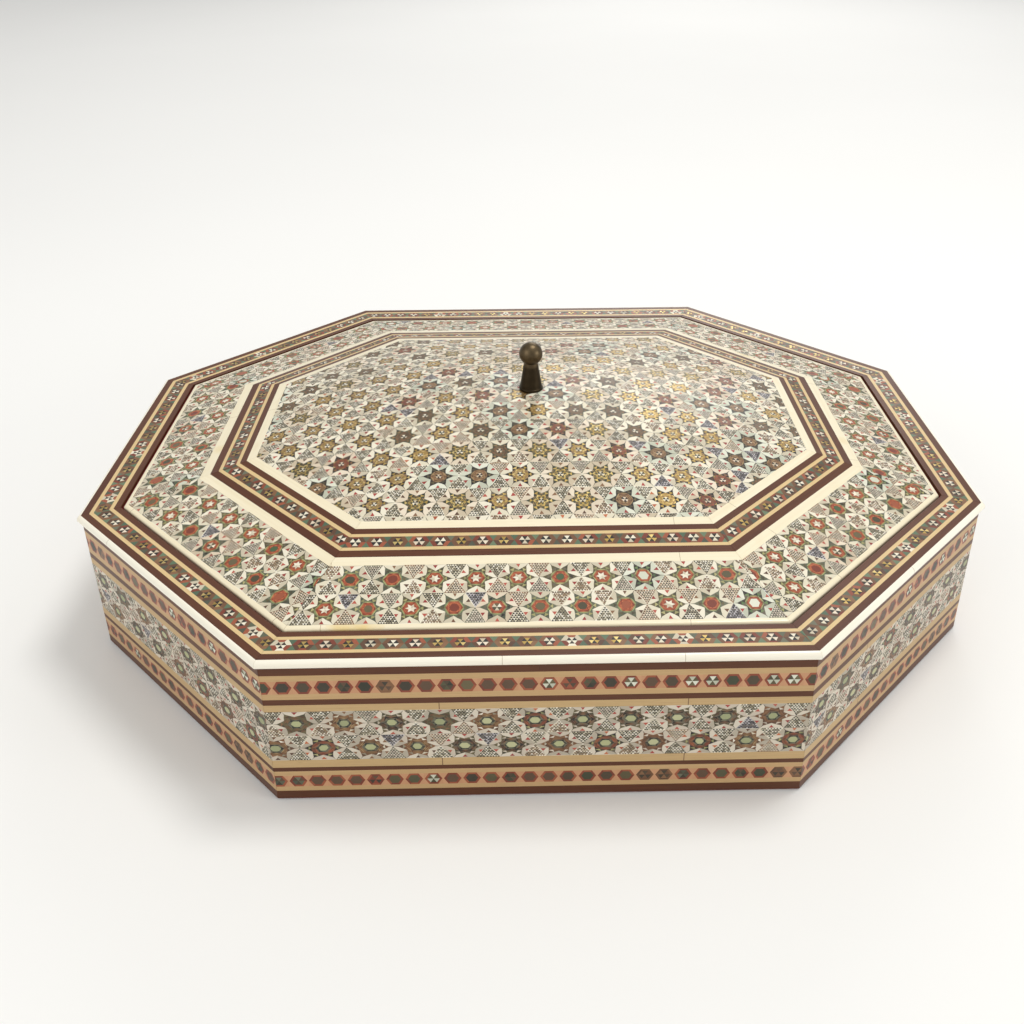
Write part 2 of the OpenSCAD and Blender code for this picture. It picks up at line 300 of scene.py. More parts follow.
def ring_place(bench, drift=0.0):
    """Along a side, into the box and up: grain and joints of a ring follow its eight sides."""
    spot = bench.node("ShaderNodeSeparateXYZ", None, {0: object_place(bench)})
    x, y, z = spot, spot.out("Y"), spot.out("Z")
    past_end = abs(x) - half_w
    past_front = abs(y) - half_d
    past_corner = (abs(x) + abs(y) - (half_w + half_d - corner_cut)) * math.sqrt(0.5)
    on_end = (past_end > past_front) * (past_end > past_corner)
    on_front = (past_front > past_end) * (past_front > past_corner)
    on_corner = 1 - on_end - on_front
    slanting = (x + y * (1 - 2 * ((x * y) > 0))) * math.sqrt(0.5) * -1
    run = on_end * y + on_front * x + on_corner * slanting
    which = (x > 0) * 0.31 + (y > 0) * 0.77 + on_end * 1.9 + on_corner * 2.7
    depth = past_end.math("MAXIMUM", past_front).math("MAXIMUM", past_corner)
    return run + which + drift, depth, z


def drawn_out(bench, side, length, across, detail, roughness=0.5):
    """Noise drawn out along a side, with its turns to the metre along the side and across it."""
    run, depth, z = side
    place = bench.node("ShaderNodeCombineXYZ", None, {0: run * length, 1: depth * across, 2: z * across})
    return noise(bench, place, 1.0, detail, roughness)


def butt_joints(bench, run, spacing, shift, width, strength, body, line):
    """Darkens a body colour in thin lines across a strip, one to each spacing."""
    gap = abs((run + shift) % spacing - spacing / 2) < width
    return blend(bench, gap * strength, body, line)


# ---------------------------------------------------------------- wood, bone, brass and cloth

PORE_DEPTH = 0.45


def strip_finish(name, light, dark, tint, grain=1.0, gloss=0.42, drift=0.0, joints=None):
    """Lacquered strip wood: long grain, slow shade drift, pores, and butt joints where given."""
    bench, shader, material = new_finish(
        name, {"Coat Weight": 0.1, "Coat Roughness": 0.16, "Specular IOR Level": 0.3})
    side = ring_place(bench, drift)
    fibre = drawn_out(bench, side, 60, 2200, 4.0, 0.62)
    slow = drawn_out(bench, side, 26, 160, 2.0)
    fleck = drawn_out(bench, side, 240, 5200, 2.0)
    body = blend(bench, fibre.math("SMOOTH_MIN", 1.0, 0.1) * grain, dark, light)
    body = blend(bench, over(slow, 0.5, 2.2), body, tint)
    pores = over(fleck, 0.63, 3.0 * grain)
    body = blend(bench, pores, body, tuple(c * PORE_DEPTH for c in dark))
    if joints:
        body = butt_joints(bench, side[0], *joints, 0.14 * MM, 0.75, body, linear(88, 58, 40))
    feed(bench, shader, "Base Color", body)
    feed(bench, shader, "Roughness", fibre * 0.22 + (gloss - 0.11))
    bump(bench, shader, fibre + pores, 0.16, 0.05 * MM)
    return material


MARK_RADIUS, MARK_STRETCH = 3 * MM, 0.35


def bone_finish(name, light, shade, stain, drift=0.0, joints=None, mark=None):
    """Bone-like strip: creamy, faintly streaked and clouded, with worn spots and thin joints."""
    bench, shader, material = new_finish(
        name, {"Coat Weight": 0.5, "Coat Roughness": 0.12, "Specular IOR Level": 0.5})
    side = ring_place(bench, drift)
    streak = drawn_out(bench, side, 34, 900, 3.0)
    cloud = drawn_out(bench, side, 90, 240, 3.0)
    spot = drawn_out(bench, side, 46, 60, 1.0)
    body = blend(bench, streak, light, shade)
    body = blend(bench, over(cloud, 0.56, 3.0), body, shade)
    body = blend(bench, over(spot, 0.7, 6.0), body, stain)
    if joints:
        body = butt_joints(bench, side[0], *joints, 0.1 * MM, 0.6, body, linear(150, 128, 96))
    if mark:
        x = bench.node("ShaderNodeSeparateXYZ", None, {0: object_place(bench)})
        far = ((x - mark[0]) * MARK_STRETCH).math("POWER", 2.0) + (x.out("Y") - mark[1]).math("POWER", 2.0)
        worn = noise(bench, object_place(bench), 260.0, 3.0)
        stained = clamped(1 - far / MARK_RADIUS ** 2 + (worn - 0.5) * 1.6)
        body = blend(bench, stained * 0.6, body, linear(216, 182, 84))
    feed(bench, shader, "Base Color", body)
    feed(bench, shader, "Roughness", streak * 0.2 + 0.28)
    bump(bench, shader, cloud, 0.1, 0.05 * MM)
    return material


def board_finish(name, light, dark):
    """Plain sawn softwood inside the box."""
    bench, shader, material = new_finish(name, {"Coat Weight": 0.0})
    fibre = drawn_out(bench, ring_place(bench), 14, 420, 5.0, 0.6)
    body = blend(bench, fibre, dark, light)
    feed(bench, shader, "Base Color", body)
    feed(bench, shader, "Roughness", fibre * 0.2 + 0.55)
    bump(bench, shader, fibre, 0.25, 0.1 * MM)
    return material


def pile_finish(name, light, dark):
    """Short pile cloth: brushed patches and a fine nap."""
    bench, shader, material = new_finish(
        name, {"Sheen Weight": 0.55, "Sheen Roughness": 0.35, "Sheen Tint": (0.9, 0.25, 0.3, 1),
               "Specular IOR Level": 0.15})
    place = object_place(bench)
    nap = noise(bench, place, 2600.0, 2.0)
    brushed = noise(bench, place, 38.0, 3.0)
    body = blend(bench, nap * 0.55 + brushed * 0.45, dark, light)
    feed(bench, shader, "Base Color", body)
    feed(bench, shader, "Roughness", brushed * 0.15 + 0.78)
    bump(bench, shader, nap, 0.6, 0.15 * MM)
    return material


# Painted shade and dark reflection on a knob's stem: how softly it fades in, and how dark it gets
SHADE_FADE, SHADE_DEPTH = 1.2 * MM, 0.35


def metal_finish(name, light, dark, rough, shaded_below=None):
    """Handled metal: worn brighter patches over a lustreless, dark skin; below a given height, painted shade
    and dark reflection darken it.
    """
    bench, shader, material = new_finish(name, {"Metallic": 1.0})
    place = object_place(bench)
    worn = noise(bench, place, 420.0, 4.0, 0.6)
    fine = noise(bench, place, 2400.0, 2.0)
    body = blend(bench, worn, dark, light)
    # Below the given height, where the stem stands under the ball: painted shade and dark reflection
    if shaded_below:
        height = bench.node("ShaderNodeSeparateXYZ", None, {0: place}).out("Z")
        stem_shade = clamped((shaded_below - height) / SHADE_FADE)
        body = blend(bench, stem_shade * 0.7, body, tuple(c * SHADE_DEPTH for c in dark))
    feed(bench, shader, "Base Color", body)
    feed(bench, shader, "Roughness", worn * 0.2 + (rough - 0.1))
    bump(bench, shader, fine + worn, 0.2, 0.05 * MM)
    return material


def rod_finish(name, colour, metallic):
    """One shade of mosaic rod under lacquer. Its colour is even, as an end-grain rod's is."""
    bench, shader, material = new_finish(
        name, {"Base Color": (*colour, 1), "Metallic": metallic, "Coat Weight": 0.16, "Coat Roughness": 0.14,
               "Specular IOR Level": 0.35})
    fine = noise(bench, object_place(bench), 900.0, 2.0)
    feed(bench, shader, "Roughness", fine * 0.3 + (0.22 if metallic else 0.3))
    bump(bench, shader, fine, 0.12, 0.04 * MM)
    return material


# Mosaic rods: three shades of each, 0 to 255
RODS = {
    "bone": ((214, 206, 182), (226, 219, 198), (194, 184, 160)),
    "bone_warm": ((210, 195, 171), (222, 209, 187), (192, 177, 151)),
    "bone_pale": ((199, 201, 181), (214, 215, 197), (181, 183, 163)),
    "bone_wall": ((194, 182, 164), (208, 198, 180), (172, 162, 144)),
    "hairline": ((96, 84, 68), (110, 98, 80), (84, 74, 60)),
    "red": ((158, 58, 50), (140, 48, 44), (172, 80, 64)),
    "brown_mark": ((104, 70, 46), (84, 56, 38), (126, 90, 60)),
    "black": ((34, 28, 22), (52, 42, 32), (26, 22, 18)),
    "green_black": ((58, 62, 42), (44, 46, 32), (78, 76, 52)),
    "green": ((84, 108, 66), (104, 124, 80), (68, 88, 56)),
    "leaf": ((150, 146, 96), (132, 130, 86), (166, 160, 110)),
    "orange": ((174, 90, 52), (184, 104, 62), (158, 76, 44)),
    "olive": ((84, 76, 50), (70, 65, 44), (98, 88, 60)),
    "tan": ((138, 110, 72), (154, 126, 86), (120, 92, 58)),
    "amber": ((152, 120, 68), (166, 134, 80), (134, 102, 56)),
    "brown": ((106, 72, 46), (122, 84, 54), (88, 60, 40)),
    "rust": ((132, 62, 40), (116, 52, 34), (148, 78, 50)),
    "slate": ((86, 90, 70), (72, 76, 60), (100, 102, 82)),
    "pale_green": ((168, 170, 126), (180, 180, 138), (150, 154, 114)),
    "teal": ((84, 106, 80), (72, 94, 72), (98, 116, 88)),
    "brass": ((196, 168, 102), (176, 148, 84), (216, 192, 126)),
    "dot_dark": ((52, 46, 36), (98, 90, 74), (34, 30, 25)),
    "dot_pale": ((204, 196, 172), (138, 130, 108), (226, 220, 202)),
    "dot_blue": ((144, 140, 142), (96, 92, 96), (186, 182, 184)),
    "heart": ((72, 60, 43), (56, 50, 37), (88, 66, 47)),
    "between": ((190, 142, 104), (188, 140, 102), (193, 145, 107)),
}
rod_names = [*RODS, "ground"]
rod_finishes = {}


def rod_shade(name, shade):
    key = (name, shade)
    if key not in rod_finishes:
        rod_finishes[key] = rod_finish(f"{name}_rod_{shade}", linear(*RODS[name][shade]),
                                       1.0 if name == "brass" else 0.0)
    return rod_finishes[key]


# ---------------------------------------------------------------- mosaic tiles, one pitch wide

HALF = 0.5                      # circumradius of a star's hexagon, in pitches
DOTS = 8                        # rods along one side of a dotted corner piece
HAIRLINE = 0.011                # half the joint between two petals, in pitches
MARK_FOOT, MARK_TIP = 0.1, 0.6  # a petal's mark, as shares of the petal's depth
MARK_WIDTH = 0.22               # and of the hexagon's side
LIP = 0.62                      # where a star's corner rods end, from its notch to its hub
HEART_NOTCH = 0.52              # a small star's notches, as a share of its points' reach
CELL_FILL = 0.7                 # a wall hexagon inside its border, as a share of its size


def spoke(turn, reach):
    return (reach * math.cos(math.radians(turn)), reach * math.sin(math.radians(turn)))


def share(a, b, part):
    return (a[0] + (b[0] - a[0]) * part, a[1] + (b[1] - a[1]) * part)


def tile(name, pieces):
    """A flat tile object from (rod, outline) pieces, each face tagged with its rod."""
    spots, outlines, tags = [], [], []
    for rod, outline in pieces:
        outlines.append(range(len(spots), len(spots) + len(outline)))
        spots += [(x, y, 0) for x, y in outline]
        tags.append(rod_names.index(rod))
    mesh = bpy.data.meshes.new(name)
    mesh.from_pydata(spots, [], [list(o) for o in outlines])
    mesh.attributes.new("rod", "INT", "FACE").data.foreach_set("value", tags)
    return bpy.data.objects.new(name, mesh), {rod for rod, _ in pieces}


def filled(style, rim, first, second):
    """A hexagon, plain or as a pinwheel of six rods by turns."""
    if style == "plain":
        return [(first, rim)]
    return [((first, second)[k % 2], [(0, 0), rim[k], rim[(k + 1) % 6]]) for k in range(6)]


def heart_pieces(style, reach, first, second):
    """The middle of a star: a filled hexagon or a small star."""
    rim = [spoke(60 * k, reach) for k in range(6)]
    if style != "star":
        return filled(style, rim, first, second)
    notch = [spoke(60 * k + 30, reach * HEART_NOTCH) for k in range(6)]
    petals = [(first, [(0, 0), notch[k - 1], rim[k], notch[k]]) for k in range(6)]
    return petals + [(second, [rim[k], rim[(k + 1) % 6], notch[k]]) for k in range(6)]


def star_pieces(mark, ivory, tip, tip_heart, corner_rod, edge_rod, points, rings, heart):
    """A six-pointed star in its hexagon, between ivory petals with marks.

    points is the reach of the star's points and of the notches between them; rings is
    (reach, rod, side rod) from the outside in.
    """
    pieces = []
    point_reach, notch_reach = points
    vertex = [spoke(60 * k, HALF) for k in range(7)]
    notch = [spoke(60 * k + 30, notch_reach) for k in range(-1, 6)]
    hub = [spoke(60 * k, rings[0][0]) for k in range(7)]
    hair = math.degrees(HAIRLINE / point_reach)
    point_up = [spoke(60 * k + hair, point_reach) for k in range(7)]
    point_down = [spoke(60 * k - hair, point_reach) for k in range(7)]
    for k in range(6):
        near, far, elbow = vertex[k], vertex[k + 1], notch[k + 1]
        before, after = notch[k], notch[k + 1]
        foot = share(share(near, far, 0.5), elbow, MARK_FOOT)
        top = share(share(near, far, 0.5), elbow, MARK_TIP)
        half_base = share((0, 0), (far[0] - near[0], far[1] - near[1]), MARK_WIDTH / 2)
        left = (foot[0] - half_base[0], foot[1] - half_base[1])
        right = (foot[0] + half_base[0], foot[1] + half_base[1])
        rim = [share(near, far, j / DOTS) for j in range(DOTS + 1)]
        upper, lower = share(point_up[k], after, 0.5), share(point_down[k], before, 0.5)
        next_lower = share(point_down[k + 1], elbow, 0.5)
        pieces += [(ivory, rim + [right, left]),
                   (ivory, [far, point_down[k + 1], next_lower, elbow, top, right]),
                   (ivory, [elbow, upper, point_up[k], near, left, top]),
                   (mark, [left, right, top]),
                   ("hairline", [near, point_up[k], point_down[k]])]
        lip_up, lip_down = share(after, hub[k], LIP), share(before, hub[k], LIP)
        lip_next = share(after, hub[k + 1], LIP)
        pieces += [(tip, [point_down[k], point_up[k], upper, lower]),
                   (tip, [after, lip_up, hub[k], upper]),
                   (tip, [before, lower, hub[k], lip_down]),
                   (tip_heart, [upper, hub[k], lower]),
                   (corner_rod, [after, lip_next, lip_up]),
                   (edge_rod, [lip_up, lip_next, hub[k + 1], hub[k]])]
    for (reach, rod, side_rod), next_reach in zip(rings, [ring[0] for ring in rings[1:]] + [heart[1]]):
        for k in range(6):
            quad = [spoke(60 * k, reach), spoke(60 * k + 60, reach),
                    spoke(60 * k + 60, next_reach), spoke(60 * k, next_reach)]
            middle = spoke(60 * k + 30, (reach + next_reach) / 2 * ROOT3 / 2)
            for j, one in enumerate((rod, side_rod, rod, side_rod)):
                pieces.append((one, [quad[j], quad[(j + 1) % 4], middle]))
    return pieces + heart_pieces(*heart)


def dotted_pieces(upward, downward, rim=None):
    """A triangle of small rods hanging from its apex at the origin, DOTS to a side."""
    def spot(row, place):
        return ((place - row / 2) / DOTS * HALF, -row / DOTS * HALF * ROOT3 / 2)
    pieces = []
    for row in range(DOTS):
        for place in range(row + 1):
            edge = rim and (place in (0, row) or row == DOTS - 1)
            pieces.append((rim if edge else upward,
                           [spot(row, place), spot(row + 1, place), spot(row + 1, place + 1)]))
            if place < row:
                pieces.append((downward,
                               [spot(row, place), spot(row + 1, place + 1), spot(row, place + 1)]))
    return pieces


def flower_pieces(petals, pinwheel, reach):
    """A round flower in its hexagon: a pinwheel, and six petals in two rods by turns."""
    pieces = heart_pieces("pinwheel", HALF * reach, *pinwheel)
    for k in range(6):
        near, far = spoke(60 * k, HALF), spoke(60 * k + 60, HALF)
        pieces.append((petals[k % len(petals)],
                       [near, far, spoke(60 * k + 60, HALF * reach), spoke(60 * k, HALF * reach)]))
    return pieces


def cell_pieces(width, height, border, heart):
    """One hexagon of a wall strip in its tan ground; the cell is one wide and one high."""
    def hexagon(part):
        return [(width * part, 0), (width / 2 * part, height * part), (-width / 2 * part, height * part),
                (-width * part, 0), (-width / 2 * part, -height * part), (width / 2 * part, -height * part)]
    outer, inner = hexagon(1), hexagon(CELL_FILL)
    pieces = [(border, [outer[k], outer[(k + 1) % 6], inner[(k + 1) % 6], inner[k]]) for k in range(6)]
    style, first, second = heart
    pieces += filled(style, inner, first, second)
    for s in (1, -1):
        wing_right = [outer[0], (0.5, 0), (0.5, height * s), (width / 2, height * s)]
        wing_left = [(-0.5, 0), outer[3], (-width / 2, height * s), (-0.5, height * s)]
        ground = [(-0.5, height * s), (-width / 2, height * s), (width / 2, height * s), (0.5, height * s),
                  (0.5, 0.5 * s), (-0.5, 0.5 * s)]
        for rod, outline in (("between", wing_right), ("between", wing_left), ("ground", ground)):
            pieces.append((rod, outline[::s]))
    return pieces


# ---------------------------------------------------------------- sheets of mosaic

PICKS = 63                      # the tiles' numbers are drawn up to this and wrap round
STRAY_SCALE = 190.0             # how closely the hand-laid rods' drift changes, in turns to the metre


def sheet_tree(name, rods, ground):
    """Rows of star tiles, every second row half a pitch on, with corner pieces between them."""
    tree = bpy.data.node_groups.new(name, "GeometryNodeTree")
    tree.is_modifier = True
    for kind, labels in (("Int", ("Columns", "Rows")), ("Float", ("Pitch", "Row Height", "Tile Height")),
                         ("Int", ("Seed",)), ("Vector", ("Drift",)),
                         ("Collection", ("Stars", "Corner Pieces"))):
        for label in labels:
            tree.interface.new_socket(name=label, in_out="INPUT", socket_type="NodeSocket" + kind)
    tree.interface.new_socket(name="Sheet", in_out="OUTPUT", socket_type="NodeSocketGeometry")
    bench = Bench(tree)
    given = bench.node("NodeGroupInput")
    columns, rows, pitch = given.out("Columns"), given.out("Rows"), given.out("Pitch")
    row_height, seed = given.out("Row Height"), given.out("Seed")

    grid = bench.node("GeometryNodeMeshGrid", None,
                      {"Size X": (columns - 1) * pitch, "Size Y": (rows - 1) * row_height,
                       "Vertices X": columns, "Vertices Y": rows})
    row = bench.node("GeometryNodeInputIndex").math("MODULO", rows)
    step = row.math("MODULO", 2.0) * pitch * 0.5

    def moved(points, distance):
        return bench.node("GeometryNodeSetPosition", None,
                          {"Geometry": points,
                           "Offset": bench.node("ShaderNodeCombineXYZ", None, {"X": distance})})

    def laid(points, collection, turn, salt):
        pick = bench.node("FunctionNodeRandomValue", {"data_type": "INT"},
                          {4: 0, 5: PICKS, "Seed": seed + salt}, out=2)
        tiles = bench.node("GeometryNodeCollectionInfo", None,
                           {"Collection": collection, "Separate Children": True, "Reset Children": True})
        size = bench.node("ShaderNodeCombineXYZ", None,
                          {"X": pitch, "Y": given.out("Tile Height"), "Z": 1.0})
        return bench.node("GeometryNodeInstanceOnPoints", None,
                          {"Points": points, "Instance": tiles, "Pick Instance": True,
                           "Instance Index": pick, "Rotation": (0, 0, turn), "Scale": size})

    stars = moved(grid, step)
    between = moved(grid, step + pitch * 0.5)
    joined = bench.node("GeometryNodeJoinGeometry", None, {0: [
        laid(stars, given.out("Stars"), 0.0, 1),
        laid(between, given.out("Corner Pieces"), 0.0, 2),
        laid(between, given.out("Corner Pieces"), math.pi, 3)]})
    loose = bench.node("GeometryNodeRealizeInstances", None, {0: joined})
    stray = bench.node("ShaderNodeTexNoise", None, {"Scale": STRAY_SCALE, "Detail": 1.0}, out=1)
    stray = bench.node("ShaderNodeVectorMath", {"operation": "SUBTRACT"}, {0: stray, 1: (0.5, 0.5, 0.5)})
    stray = bench.node("ShaderNodeVectorMath", {"operation": "MULTIPLY"}, {0: stray, 1: given.out("Drift")})
    sheet = bench.node("GeometryNodeSetPosition", None, {"Geometry": loose, "Offset": stray})
    rod = bench.node("GeometryNodeInputNamedAttribute", {"data_type": "INT"}, {"Name": "rod"})
    shade = bench.node("FunctionNodeRandomValue", {"data_type": "INT"},
                       {4: 0, 5: SHADES - 1, "Seed": seed}, out=2)
    number = rod * SHADES + shade
    for name in sorted(rods, key=rod_names.index):
        for one in range(SHADES):
            chosen = number.math("COMPARE", rod_names.index(name) * SHADES + one, 0.5)
            material = ground if name == "ground" else rod_shade(name, one)
            sheet = bench.node("GeometryNodeSetMaterial", None,
                               {"Geometry": sheet, "Selection": chosen, "Material": material})
    bench.node("NodeGroupOutput", None, {0: sheet})
    return tree


WELD = 0.004 * MM


def set_out(name, data):
    made = bpy.data.objects.new(name, data)
    bpy.context.scene.collection.objects.link(made)
    return made


def finished(name, shape, finish, sharp=None):
    """A smooth object of a worked shape, its creases over the given angle kept sharp."""
    mesh = bpy.data.meshes.new(name)
    shape.to_mesh(mesh)
    shape.free()
    mesh.shade_smooth()
    if sharp:
        mesh.set_sharp_from_angle(angle=math.radians(sharp))
    mesh.materials.append(finish)
    return set_out(name, mesh)


def stands_for(made, body, slot, *replaced):
    """The piece rides on a body and takes CAD nodes' place; slot is not used."""
    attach(made, body)
    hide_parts(*replaced)


def make_sheet(name, columns, rows, pitch, row_height, tile_height, seed, stars, corners, ground=None,
               drift=(0.0, 0.0, 0.0)):
    """A sheet of mosaic centred on the origin, as a plain welded mesh."""
    racks, rods = [], set()
    for label, tiles in (("stars", stars), ("corners", corners)):
        rack = bpy.data.collections.new(f"{name}_{label}")
        bpy.context.scene.collection.children.link(rack)
        for number, pieces in enumerate(tiles):
            made, used = tile(f"{name}_{label}_{number}", pieces)
            rods |= used
            rack.objects.link(made)
        racks.append(rack)
    tree = sheet_tree(name, rods, ground)
    table = set_out(name, bpy.data.meshes.new(name))
    layout = table.modifiers.new("layout", "NODES")
    layout.node_group = tree
    wanted = {"Columns": columns, "Rows": rows, "Pitch": pitch, "Row Height": row_height,
              "Tile Height": tile_height, "Seed": seed, "Drift": drift,
              "Stars": racks[0], "Corner Pieces": racks[1]}
    for item in tree.interface.items_tree:
        if item.in_out == "INPUT":
            layout[item.identifier] = wanted[item.name]
    sheet = bpy.data.meshes.new_from_object(table.evaluated_get(bpy.context.evaluated_depsgraph_get()))
    table.modifiers.clear()
    bpy.data.objects.remove(table)
    for rack in racks:
        for made in list(rack.objects):
            bpy.data.objects.remove(made)
        bpy.data.collections.remove(rack)
    welded = bmesh.new()
    welded.from_mesh(sheet)
    bmesh.ops.remove_doubles(welded, verts=welded.verts, dist=WELD)
    welded.to_mesh(sheet)
    welded.free()
    return sheet


def sawn(sheet, outline, shift):
    """A piece of a sheet, moved by shift and sawn to a convex anticlockwise outline."""
    piece = bmesh.new()
    piece.from_mesh(sheet)
    bmesh.ops.translate(piece, verts=piece.verts, vec=(*shift, 0))
    for a, b in zip(outline, outline[1:] + outline[:1]):
        out = Vector((b[1] - a[1], a[0] - b[0], 0)).normalized()
        far = [f for f in piece.faces if all((v.co - Vector((*a, 0))).dot(out) > 0 for v in f.verts)]
        bmesh.ops.delete(piece, geom=far, context="FACES")
        bmesh.ops.bisect_plane(piece, geom=piece.verts[:] + piece.edges[:] + piece.faces[:],
                               dist=WELD, plane_co=(*a, 0), plane_no=out, clear_outer=True)
    return piece


def rim_loop(piece):
    """The outline of a sawn piece, as its vertices in order, anticlockwise."""
    following = {}
    for edge in piece.edges:
        if edge.is_boundary:
            loop = edge.link_loops[0]
            following[loop.vert] = loop.link_loop_next.vert
    longest = []
    while following:
        start, spot = following.popitem()
        walk = [start]
        while spot in following:
            walk.append(spot)
            spot = following.pop(spot)
        if len(walk) > len(longest):
            longest = walk
    return longest


def glued(piece, place, depth, cell=None):
    """Lays a sawn piece by place(x, y, depth), with its own edges and back, as a closed slab."""
    rim = rim_loop(piece)
    flat = [v.co.xy.copy() for v in rim]
    inner = []
    if cell:
        xs, ys = [p.x for p in flat], [p.y for p in flat]
        centre = sum(flat, Vector((0, 0))) / len(flat)
        shrunk = [centre + (p - centre) * (1 - cell / (max(ys) - min(ys))) for p in flat]
        for x in np.arange(min(xs), max(xs), cell):
            for y in np.arange(min(ys), max(ys), cell):
                if inside(Vector((x, y)), shrunk):
                    inner.append(Vector((x, y)))
    count = len(flat)
    spots, _, faces, origin, _, _ = geometry.delaunay_2d_cdt(
        flat + inner, [], [list(range(count))], 1, WELD)
    under = {}
    for number, spot in enumerate(spots):
        under[number] = piece.verts.new((spot.x, spot.y, -1))
    owner = {source: number for number, sources in enumerate(origin) for source in sources}
    for face in faces:
        piece.faces.new([under[n] for n in reversed(face)])
    for k in range(count):
        a, b = rim[k], rim[(k + 1) % count]
        low_a, low_b = under[owner[k]], under[owner[(k + 1) % count]]
        beside = next(f for f in a.link_faces if b in f.verts)
        ring = [b, a, low_a, low_b]
        if low_a is not low_b:
            piece.faces.new(ring).material_index = beside.material_index
    for v in piece.verts:
        v.co = place(v.co.x, v.co.y, depth if v.co.z < -0.5 else 0.0)
    return piece


def inside(spot, loop):
    turn = False
    for a, b in zip(loop, loop[1:] + loop[:1]):
        if (a.y > spot.y) != (b.y > spot.y) and spot.x < (b.x - a.x) * (spot.y - a.y) / (b.y - a.y) + a.x:
            turn = not turn
    return turn


def gathered(name, pieces, sheet, body, node, slot):
    """One object from laid pieces that share a sheet's materials; it stands for a CAD node."""
    whole = bpy.data.meshes.new(name)
    joined = bmesh.new()
    for piece in pieces:
        part = bpy.data.meshes.new("part")
        piece.to_mesh(part)
        piece.free()
        joined.from_mesh(part)
        bpy.data.meshes.remove(part)
    used = sorted({f.material_index for f in joined.faces})
    for face in joined.faces:
        face.material_index = used.index(face.material_index)
    joined.to_mesh(whole)
    joined.free()
    for number in used:
        whole.materials.append(sheet.materials[number])
    stands_for(set_out(name, whole), body, slot, node)


MITRE_GAP = 0.04 * MM


def wall_place(k):
    length = side_length(k)

    def place(x, y, depth):
        spot = corner(k, depth).lerp(corner(k + 1, depth), x / length)
        return (spot.x, spot.y, y)
    return place


def plan_place(k, height):
    start, run, inwards = corner(k), along(k), inward(k)

    def place(x, y, depth):
        spot = start + run * x + inwards * y
        return (spot.x, spot.y, height(y) - depth)
    return place


def wall_outline(k, low, high):
    length = side_length(k)
    return [(MITRE_GAP, low), (length - MITRE_GAP, low), (length - MITRE_GAP, high), (MITRE_GAP, high)]


def ring_outline(k, outer, inner):
    length, gap = side_length(k), MITRE_GAP
    return [(outer * MITRE_TAN + gap, outer), (length - outer * MITRE_TAN - gap, outer),
            (length - inner * MITRE_TAN - gap, inner), (inner * MITRE_TAN + gap, inner)]


def on_sides(name, sheet, body, node, slot, outline, shift, place):
    """Glues a sheet on all eight sides, with each side's own outline, shift and place."""
    pieces = [glued(sawn(sheet, outline(k), shift(k)), place(k), veneer) for k in range(SIDES)]
    gathered(name, pieces, sheet, body, node, slot)


# ---------------------------------------------------------------- the mosaics of this box

checker = [dotted_pieces(*rods) for rods in (
    ("dot_pale", "dot_dark"), ("dot_dark", "dot_pale"), ("dot_dark", "dot_pale", "dot_dark"),
    ("dot_pale", "brown_mark"), ("black", "dot_pale"), ("dot_dark", "dot_pale"), ("dot_pale", "dot_dark"),
    ("dot_blue", "dot_dark"), ("dot_dark", "bone_wall", "slate"), ("dot_dark", "bone_warm", "brown_mark"))]

lid_stars = [
    star_pieces(mark, ivory, tip, tip_heart, corner_rod, "leaf", (0.4, 0.232),
                [(0.225, "leaf", "green"), (0.205, ring, "rust"), (0.155, "rust", ring)], heart)
    for mark, ivory, tip, tip_heart, corner_rod, ring, heart in (
        ("red", "bone", "slate", "leaf", "green", "orange", ("plain", 0.115, "olive", "olive")),
        ("red", "bone", "olive", "leaf", "green", "orange", ("star", 0.13, "bone", "rust")),
        ("red", "bone_warm", "slate", "dot_dark", "green", "orange", ("pinwheel", 0.115, "bone", "olive")),
        ("red", "bone_pale", "dot_dark", "green", "olive", "orange",
         ("plain", 0.135, "bone_pale", "bone_pale")),
        ("red", "bone", "olive", "dot_dark", "leaf", "orange", ("plain", 0.105, "green", "green")),
        ("red", "bone_pale", "slate", "brown_mark", "green", "rust", ("pinwheel", 0.115, "orange", "olive")),
        ("brown_mark", "bone", "slate", "olive", "green", "orange", ("plain", 0.12, "rust", "olive")))
]
centre_stars = [
    star_pieces(mark, ivory, tip, tip_heart, corner_rod, ring, (0.36, 0.222),
                [(0.205, ring, other), (0.15, other, ring)], ("pinwheel", 0.085, "black", light))
    for mark, ivory, tip, tip_heart, corner_rod, ring, other, light in (
        ("red", "bone", "black", "brass", "tan", "tan", "brass", "bone"),
        ("brown_mark", "bone", "green_black", "tan", "olive", "brown", "olive", "bone"),
        ("red", "bone_pale", "black", "olive", "olive", "tan", "brown", "bone_warm"),
        ("orange", "bone", "black", "brass", "brass", "amber", "brass", "bone"),
        ("brown_mark", "bone_warm", "green_black", "brass", "tan", "olive", "brass", "bone"),
        ("red", "bone_warm", "black", "brown_mark", "brass", "brown", "rust", "bone_warm"),
        ("red", "bone", "dot_dark", "brass", "brown", "tan", "brass", "bone"))
]
wall_stars = [
    star_pieces(mark, ivory, tip, tip_heart, surround, other, (0.39, 0.256),
                [(HALF / 2, surround, other), (0.178, "slate", "dot_dark")],
                ("plain", 0.11, "pale_green", "pale_green"))
    for mark, ivory, tip, tip_heart, surround, other in (
        ("red", "bone_wall", "brown", "bone_wall", "brown", "brown_mark"),
        ("red", "bone_wall", "olive", "brown_mark", "brown", "olive"),
        ("brown_mark", "bone_wall", "brown", "dot_pale", "tan", "brown"),
        ("orange", "bone_wall", "dot_dark", "leaf", "rust", "brown"),
        ("red", "bone_wall", "olive", "bone_wall", "brown_mark", "dot_dark"))
]
